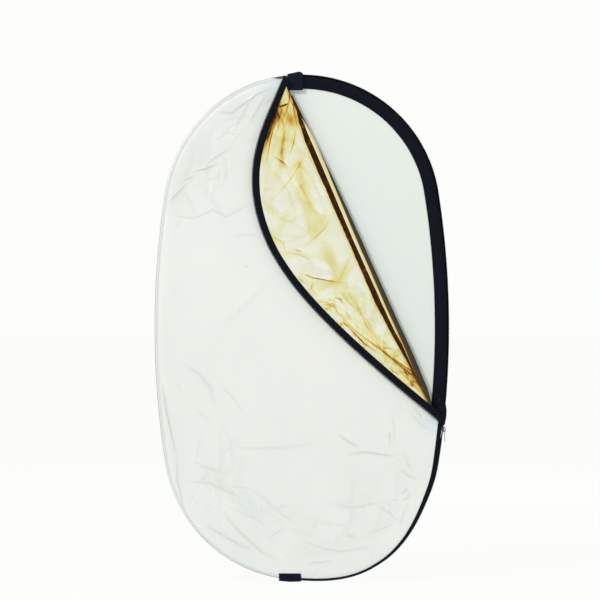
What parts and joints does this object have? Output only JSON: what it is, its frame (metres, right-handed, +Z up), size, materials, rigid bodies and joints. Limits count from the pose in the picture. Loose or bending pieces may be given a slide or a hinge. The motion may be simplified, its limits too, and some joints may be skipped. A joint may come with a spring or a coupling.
{
  "type": "collapsible reflector disc",
  "caption": "Oval spring-hoop light reflector with a translucent core and a reversible zipped cover, one corner folded open.",
  "frame": {"origin": "centre of the oval outline, on the diffuser's middle plane", "axes": "+Z up along the long axis, +X right along the short axis, +Y away from the viewer; the open corner faces -Y"},
  "size_m": [0.7106, 0.031, 1.233],
  "materials": {
    "spring_steel": "flat spring-steel strip",
    "binding_cloth": "blue-black woven polyester tape",
    "diffuser_cloth": "fine translucent nylon taffeta, taut",
    "white_cloth": "matt white coated cloth",
    "black_cloth": "matt black woven cloth",
    "gold_cloth": "crinkled metallised gold film on cloth",
    "silver_cloth": "satin silver-white metallised cloth, creased",
    "coil_nylon": "black nylon zip coil",
    "zinc_alloy": "cast zinc alloy with a dull grey plating"
  },
  "bodies": {
    "disc": {"spring_steel_band": "spring_steel", "band_splice_sleeve": "spring_steel", "rim_binding": "binding_cloth", "diffuser_panel": "diffuser_cloth", "cover_back_lining": "white_cloth", "cover_back_outer": "black_cloth", "cover_front_lining": "gold_cloth", "cover_front_outer": "silver_cloth", "cover_side_seam": "silver_cloth", "zip_tape_back": "binding_cloth", "zip_coil_back": "coil_nylon", "zip_tape_front_lower": "binding_cloth", "zip_coil_front_lower": "coil_nylon", "zip_end_tab_top": "binding_cloth", "zip_end_tab_bottom": "binding_cloth"},
    "fold_line": {"fold_roll": "gold_cloth"},
    "corner": {"flap_lining": "gold_cloth", "flap_outer": "silver_cloth", "flap_zip_tape": "binding_cloth", "flap_zip_coil": "coil_nylon"},
    "slider": {"slider_body": "zinc_alloy", "slider_bridge": "zinc_alloy", "slider_lock_spring": "spring_steel"},
    "pull": {"pull_tab": "zinc_alloy"}
  },
  "joints": [
    {"name": "fold_creep", "type": "hinge", "parent": "disc", "child": "fold_line", "pos_m": [0.488, 0, -0.577], "axis": [0, 1, 0], "range_deg": [0, 2.9], "deforming": ["fold_roll"]},
    {"name": "corner_fold", "type": "hinge", "parent": "fold_line", "child": "corner", "pos_m": [-0.0252, -0.0134, 0.5495], "axis": [-0.4096, 0, 0.9123], "range_deg": [0, 179.8]},
    {"name": "slider_travel", "type": "hinge", "parent": "disc", "child": "slider", "pos_m": [-1.75437, 0, 0], "axis": [0, -1, 0], "range_deg": [-2, 15.4]},
    {"name": "pull_swing", "type": "hinge", "parent": "slider", "child": "pull", "pos_m": [0.34471, 0, -0.2488], "axis": [0, -1, 0], "range_deg": [-11, 166]}
  ],
  "couplings": [
    {"joint": "fold_creep", "follows": "corner_fold", "ratio": 0.015556}
  ]
}
